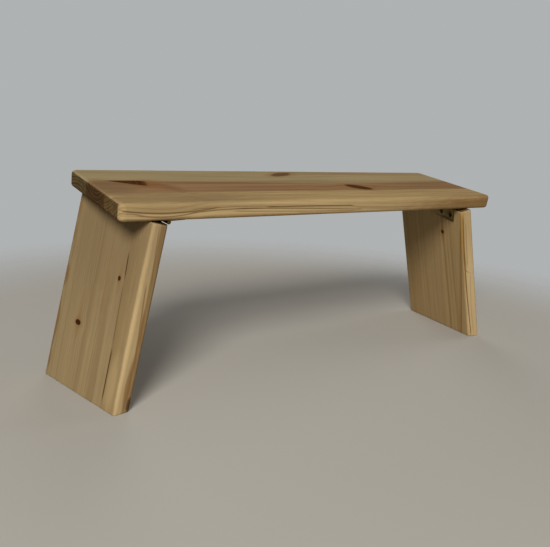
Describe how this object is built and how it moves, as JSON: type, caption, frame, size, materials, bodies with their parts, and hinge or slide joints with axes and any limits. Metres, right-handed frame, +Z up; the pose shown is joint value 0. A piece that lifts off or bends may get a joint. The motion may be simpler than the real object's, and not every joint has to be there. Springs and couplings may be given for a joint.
{
  "type": "folding meditation bench",
  "caption": "Low folding meditation bench: a sloping, round-edged pine seat board on splayed board legs that fold flat under it on butt hinges.",
  "frame": {"origin": "on the floor, under the middle of the bench's outer box with the legs open", "axes": "+X along the seat to the right, +Y from the lower front edge to the higher back edge, +Z up"},
  "size_m": [0.6114, 0.1486, 0.2242],
  "materials": {
    "pine": "sanded and oiled, straight grain, rounded edges",
    "pine_heartwood": "sanded and oiled, reddish heartwood with dark knots",
    "plated_steel": "yellow-plated pressed steel, dull",
    "black_steel": "blackened steel, satin"
  },
  "bodies": {
    "seat": {"seat_front_stave": "pine", "seat_middle_stave": "pine_heartwood", "seat_back_stave": "pine", "left_front_hinge_seat_leaf": "plated_steel", "left_front_hinge_pin": "plated_steel", "left_front_hinge_seat_screw_1": "black_steel", "left_front_hinge_seat_screw_2": "black_steel", "left_front_hinge_seat_screw_3": "black_steel", "left_back_hinge_seat_leaf": "plated_steel", "left_back_hinge_pin": "plated_steel", "left_back_hinge_seat_screw_1": "black_steel", "left_back_hinge_seat_screw_2": "black_steel", "left_back_hinge_seat_screw_3": "black_steel", "right_front_hinge_seat_leaf": "plated_steel", "right_front_hinge_pin": "plated_steel", "right_front_hinge_seat_screw_1": "black_steel", "right_front_hinge_seat_screw_2": "black_steel", "right_front_hinge_seat_screw_3": "black_steel", "right_back_hinge_seat_leaf": "plated_steel", "right_back_hinge_pin": "plated_steel", "right_back_hinge_seat_screw_1": "black_steel", "right_back_hinge_seat_screw_2": "black_steel", "right_back_hinge_seat_screw_3": "black_steel"},
    "left_leg": {"left_leg_front_stave": "pine", "left_leg_middle_stave": "pine", "left_leg_back_stave": "pine", "left_front_hinge_leg_leaf": "plated_steel", "left_front_hinge_leg_screw_1": "black_steel", "left_front_hinge_leg_screw_2": "black_steel", "left_front_hinge_leg_screw_3": "black_steel", "left_back_hinge_leg_leaf": "plated_steel", "left_back_hinge_leg_screw_1": "black_steel", "left_back_hinge_leg_screw_2": "black_steel", "left_back_hinge_leg_screw_3": "black_steel"},
    "right_leg": {"right_leg_front_stave": "pine", "right_leg_middle_stave": "pine", "right_leg_back_stave": "pine", "right_front_hinge_leg_leaf": "plated_steel", "right_front_hinge_leg_screw_1": "black_steel", "right_front_hinge_leg_screw_2": "black_steel", "right_front_hinge_leg_screw_3": "black_steel", "right_back_hinge_leg_leaf": "plated_steel", "right_back_hinge_leg_screw_1": "black_steel", "right_back_hinge_leg_screw_2": "black_steel", "right_back_hinge_leg_screw_3": "black_steel"}
  },
  "joints": [
    {"name": "left_leg_fold", "type": "hinge", "parent": "seat", "child": "left_leg", "pos_m": [-0.228, 0.00592, 0.19462], "axis": [0.1444, -0.9795, -0.1405], "range_deg": [0, 104.6]},
    {"name": "right_leg_fold", "type": "hinge", "parent": "seat", "child": "right_leg", "pos_m": [0.228, 0.00592, 0.19462], "axis": [0.1444, 0.9795, 0.1405], "range_deg": [0, 104.6]}
  ]
}
